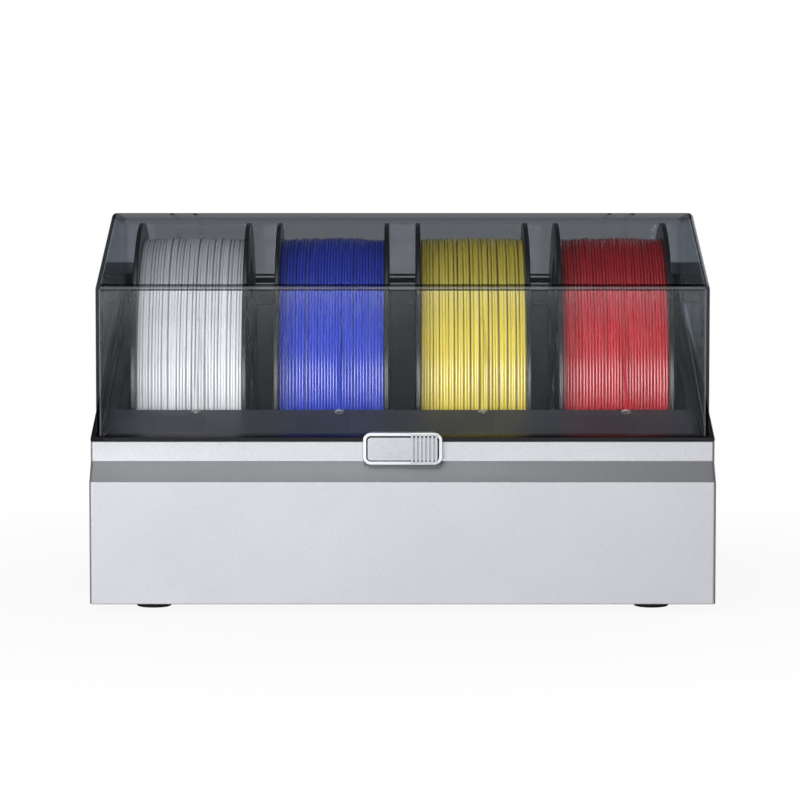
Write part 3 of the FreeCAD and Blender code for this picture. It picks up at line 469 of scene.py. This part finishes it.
def strand_winding(lane, loops, seed, lean):
    """One strand wound over its core: uneven steps, fuller in the middle, ends tucked under."""
    pick = random.Random(seed)
    node = f"filament_{lane}_winding"
    low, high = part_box(node)
    core_low, core_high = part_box(f"filament_{lane}")
    axis = (core_low + core_high) / 2
    outer = (high.z - low.z) / 2
    radius = strand_radius
    steps, sides = 72, 8
    wide_gaps = 9
    slide_from = 0.72
    tuck_steps = 5
    span = core_high.x - core_low.x - 2 * radius
    slack = span - (loops - 1) * 2.01 * radius
    gaps = [0.04] * (loops - 1)
    for loop in pick.sample(range(loops - 1), wide_gaps):
        gaps[loop] = pick.uniform(0.5, 1.5)
    along = [core_low.x + radius]
    for gap in gaps:
        along.append(along[-1] + 2.01 * radius + gap * slack / sum(gaps))
    along.append(along[-1])
    heights = []
    for x in along:
        crown = 1 - (2 * (x - axis.x) / span) ** 2
        heights.append(outer - radius + (0.9 * crown - 0.4 + pick.uniform(-0.6, 0.35)) * mm)
    leans = [pick.uniform(-lean, lean) * mm for _ in range(loops + 1)]
    turns = [pick.uniform(0, 2 * math.pi) for _ in range(loops + 1)]
    points, faces = [], []
    last = loops * steps
    for k in range(last + 1):
        loop, part = min(k // steps, loops - 1), (k % steps) / steps if k < last else 1.0
        slide = min(max((part - slide_from) / (1 - slide_from), 0.0), 1.0)
        slide = slide * slide * (3 - 2 * slide)
        angle = 2 * math.pi * part
        sway_a = leans[loop] * math.sin(angle + turns[loop])
        sway_b = leans[loop + 1] * math.sin(angle + turns[loop + 1])
        x = along[loop] + (along[loop + 1] - along[loop]) * slide + sway_a + (sway_b - sway_a) * slide
        x = min(max(x, core_low.x + radius), core_high.x - radius)
        reach = heights[loop] + (heights[loop + 1] - heights[loop]) * slide
        tuck = max(0.0, 1 - k / tuck_steps, 1 - (last - k) / tuck_steps)
        reach -= tuck * 3 * radius
        out = Vector((0, math.cos(angle), math.sin(angle)))
        centre = Vector((x, axis.y, axis.z)) + out * reach
        for s in range(sides):
            a = 2 * math.pi * s / sides
            points.append(centre + out * radius * math.cos(a) + Vector((radius * math.sin(a), 0, 0)))
        if k:
            base = (k - 1) * sides
            for s in range(sides):
                t = (s + 1) % sides
                faces.append((base + s, base + sides + s, base + sides + t, base + t))
    faces.append(tuple(range(sides)))
    faces.append(tuple(last * sides + s for s in reversed(range(sides))))
    mesh = bpy.data.meshes.new(f"winding_{lane}")
    mesh.from_pydata(points, [], faces)
    mesh.shade_smooth()
    slot = slot_of[node]
    mesh.materials.append(finishes[slot])
    return piece(f"winding_{lane}", mesh, f"spool_{lane}", slot, node)


for lane, lean in zip(lanes, (0.55, 0.12, 0.45, 0.15)):
    strand_winding(lane, 34, 40 + lane, lean)


def leads():
    """The strands that run from the windings to the inlets, each in its own colour."""
    low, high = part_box("filament_leads")
    radius = strand_radius
    first_low, first_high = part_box("spool_1")
    offset = low.x + radius - (first_low.x + first_high.x) / 2
    sides, rings = 12, 24
    for lane in lanes:
        lane_low, lane_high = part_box(f"spool_{lane}")
        x = (lane_low.x + lane_high.x) / 2 + offset
        start, end = Vector((x, high.y - radius, high.z)), Vector((x, low.y + radius, low.z))
        along = (end - start).normalized()
        side = Vector((1, 0, 0))
        up = along.cross(side)
        points, faces = [], []
        for k in range(rings + 1):
            centre = start.lerp(end, k / rings)
            for s in range(sides):
                a = 2 * math.pi * s / sides
                points.append(centre + side * radius * math.cos(a) + up * radius * math.sin(a))
            if k:
                base = (k - 1) * sides
                for s in range(sides):
                    t = (s + 1) % sides
                    faces.append((base + s, base + t, base + sides + t, base + sides + s))
        faces.append(tuple(reversed(range(sides))))
        faces.append(tuple(rings * sides + s for s in range(sides)))
        mesh = bpy.data.meshes.new(f"lead_{lane}")
        mesh.from_pydata(points, [], faces)
        mesh.shade_smooth()
        slot = slot_of[f"filament_{lane}"]
        mesh.materials.append(finishes[slot])
        piece(f"lead_{lane}", mesh, "base", slot, "filament_leads")


leads()

# Stage, light and camera


def stage_floor():
    """A pale floor: nearly white to the camera, white behind the object to gloss."""
    mesh = bpy.data.meshes.new("floor")
    half = 6.0
    corners = [(-half, -half, 0), (half, -half, 0), (half, half, 0), (-half, half, 0)]
    mesh.from_pydata(corners, [], [(0, 1, 2, 3)])
    material, tree, shader = new_material("floor")
    shader.inputs["Base Color"].default_value = (0.9, 0.9, 0.9, 1.0)
    shader.inputs["Roughness"].default_value = 0.8
    glow = tree.nodes.new("ShaderNodeEmission")
    rays = tree.nodes.new("ShaderNodeLightPath")
    place = tree.nodes.new("ShaderNodeTexCoord")
    away = tree.nodes.new("ShaderNodeVectorMath")
    away.operation = "LENGTH"
    fade = tree.nodes.new("ShaderNodeMapRange")
    fade.inputs["From Min"].default_value = 0.2
    fade.inputs["From Max"].default_value = 0.5
    fade.inputs["To Min"].default_value = 0.92
    fade.inputs["To Max"].default_value = 1.0
    parts = tree.nodes.new("ShaderNodeSeparateXYZ")
    behind = tree.nodes.new("ShaderNodeMapRange")
    behind.inputs["From Min"].default_value = 0.2
    behind.inputs["From Max"].default_value = 0.5
    seen = tree.nodes.new("ShaderNodeMath")
    seen.operation = "MULTIPLY"
    mirrored = tree.nodes.new("ShaderNodeMath")
    mirrored.operation = "MULTIPLY"
    share = tree.nodes.new("ShaderNodeMath")
    share.operation = "MAXIMUM"
    mix = tree.nodes.new("ShaderNodeMixShader")
    tree.links.new(place.outputs["Object"], away.inputs[0])
    tree.links.new(place.outputs["Object"], parts.inputs["Vector"])
    tree.links.new(parts.outputs["Y"], behind.inputs["Value"])
    tree.links.new(away.outputs["Value"], fade.inputs["Value"])
    tree.links.new(rays.outputs["Is Camera Ray"], seen.inputs[0])
    tree.links.new(fade.outputs["Result"], seen.inputs[1])
    tree.links.new(rays.outputs["Is Glossy Ray"], mirrored.inputs[0])
    tree.links.new(behind.outputs["Result"], mirrored.inputs[1])
    tree.links.new(seen.outputs["Value"], share.inputs[0])
    tree.links.new(mirrored.outputs["Value"], share.inputs[1])
    tree.links.new(share.outputs["Value"], mix.inputs["Fac"])
    tree.links.new(shader.outputs["BSDF"], mix.inputs[1])
    tree.links.new(glow.outputs["Emission"], mix.inputs[2])
    tree.links.new(mix.outputs["Shader"], tree.nodes["Material Output"].inputs["Surface"])
    mesh.materials.append(material)
    floor = bpy.data.objects.new("floor", mesh)
    bpy.context.scene.collection.objects.link(floor)


def softbox(name, place, aim, width, height, power):
    light = bpy.data.lights.new(name, "AREA")
    light.shape = "RECTANGLE"
    light.size = width
    light.size_y = height
    light.energy = power
    thing = bpy.data.objects.new(name, light)
    thing.location = place
    thing.rotation_euler = (Vector(aim) - Vector(place)).to_track_quat("-Z", "Y").to_euler()
    bpy.context.scene.collection.objects.link(thing)


def surroundings():
    """A dim studio, dark to gloss but for its white backdrop."""
    world = bpy.data.worlds.new("studio")
    bpy.context.scene.world = world
    world.use_nodes = True
    tree = world.node_tree
    dim = tree.nodes["Background"]
    dim.inputs["Color"].default_value = (0.09, 0.09, 0.093, 1.0)
    dark = tree.nodes.new("ShaderNodeBackground")
    dark.inputs["Color"].default_value = (0.05, 0.05, 0.052, 1.0)
    white = tree.nodes.new("ShaderNodeBackground")
    white.inputs["Color"].default_value = (1.0, 1.0, 1.0, 1.0)
    rays = tree.nodes.new("ShaderNodeLightPath")
    place = tree.nodes.new("ShaderNodeTexCoord")
    parts = tree.nodes.new("ShaderNodeSeparateXYZ")
    behind = tree.nodes.new("ShaderNodeMapRange")
    behind.inputs["From Min"].default_value = 0.93
    behind.inputs["From Max"].default_value = 0.97
    reflected = tree.nodes.new("ShaderNodeMixShader")
    around = tree.nodes.new("ShaderNodeMixShader")
    clear = tree.nodes.new("ShaderNodeMath")
    clear.operation = "MAXIMUM"
    mix = tree.nodes.new("ShaderNodeMixShader")
    tree.links.new(place.outputs["Generated"], parts.inputs["Vector"])
    tree.links.new(parts.outputs["Y"], behind.inputs["Value"])
    tree.links.new(behind.outputs["Result"], reflected.inputs["Fac"])
    tree.links.new(dark.outputs["Background"], reflected.inputs[1])
    tree.links.new(white.outputs["Background"], reflected.inputs[2])
    tree.links.new(rays.outputs["Is Glossy Ray"], around.inputs["Fac"])
    tree.links.new(dim.outputs["Background"], around.inputs[1])
    tree.links.new(reflected.outputs["Shader"], around.inputs[2])
    tree.links.new(rays.outputs["Is Camera Ray"], clear.inputs[0])
    tree.links.new(rays.outputs["Is Transmission Ray"], clear.inputs[1])
    tree.links.new(clear.outputs["Value"], mix.inputs["Fac"])
    tree.links.new(around.outputs["Shader"], mix.inputs[1])
    tree.links.new(white.outputs["Background"], mix.inputs[2])
    tree.links.new(mix.outputs["Shader"], tree.nodes["World Output"].inputs["Surface"])


def camera():
    lens = bpy.data.cameras.new("camera")
    lens.lens = 188.34
    lens.sensor_width = 36.0
    lens.clip_end = 50.0
    thing = bpy.data.objects.new("camera", lens)
    thing.location = (-0.00154, -2.5585, 0.34026)
    thing.rotation_euler = (math.radians(90 - 5.0995), 0, 0)
    bpy.context.scene.collection.objects.link(thing)
    bpy.context.scene.camera = thing


stage_floor()
surroundings()
softbox("front_softbox", (-1.0, -3.4, 0.7), (0, 0, 0.12), width=5.2, height=1.5, power=170)
softbox("rear_softbox", (1.6, 2.6, 0.9), (0, 0, 0.1), width=2.0, height=0.9, power=26)
softbox("top_softbox", (-0.3, -0.3, 2.2), (0, -0.13, 0.08), width=0.7, height=0.7, power=5.6)
camera()
bpy.context.scene.view_settings.view_transform = "Standard"
